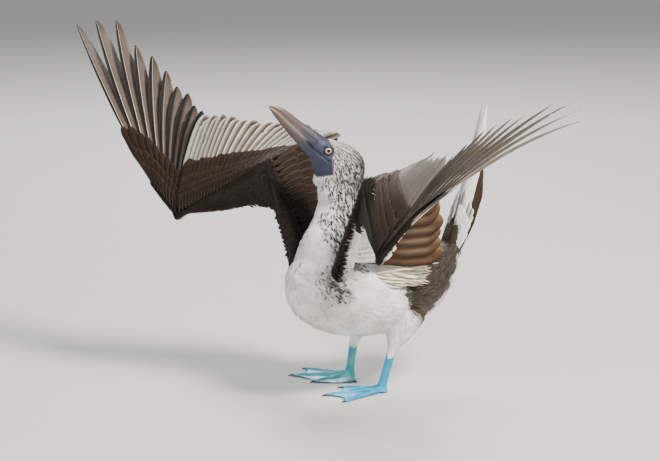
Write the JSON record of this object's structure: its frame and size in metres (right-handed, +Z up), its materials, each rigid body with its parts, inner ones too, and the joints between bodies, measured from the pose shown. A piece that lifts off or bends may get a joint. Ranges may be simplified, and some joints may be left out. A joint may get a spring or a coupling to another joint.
{
  "type": "life-size blue-footed booby model",
  "caption": "Life-size still model of a blue-footed booby in its sky-pointing display, wings raised and turned out, bill and tail held up.",
  "frame": {"origin": "on the floor, below the middle of the model's box", "axes": "+Z up, the bird's body faces -Y, its left side is +X"},
  "size_m": [1.1038, 0.4352, 0.51],
  "materials": {
    "body_plumage": "soft white body feathers, greyer in the shade, brown mottling on the flanks",
    "head_plumage": "white feathers with dense brown lance-shaped streaks",
    "bill_horn": "smooth grey-blue horn with a brownish tinge, satin",
    "eye": "wet, pale yellow iris and black pupil",
    "wing_feathers": "dark chocolate-brown feathers with paler grey-brown edges and a faint sheen",
    "tail_feathers": "pale grey-white centre feathers, dark brown outer ones",
    "leg_skin": "turquoise to sky-blue scaly skin, satin"
  },
  "bodies": {
    "root": {"bill_lower": "bill_horn", "bill_upper": "bill_horn", "eye_left": "eye", "eye_right": "eye", "foot_left": "leg_skin", "foot_right": "leg_skin", "head": "head_plumage", "leg_left": "leg_skin", "leg_right": "leg_skin", "neck": "head_plumage", "tail": "tail_feathers", "thigh_left": "body_plumage", "thigh_right": "body_plumage", "torso": "body_plumage", "wing_hand_left": "wing_feathers", "wing_hand_right": "wing_feathers", "wing_middle_left": "wing_feathers", "wing_middle_right": "wing_feathers", "wing_upper_left": "wing_feathers", "wing_upper_right": "wing_feathers"}
  },
  "joints": []
}
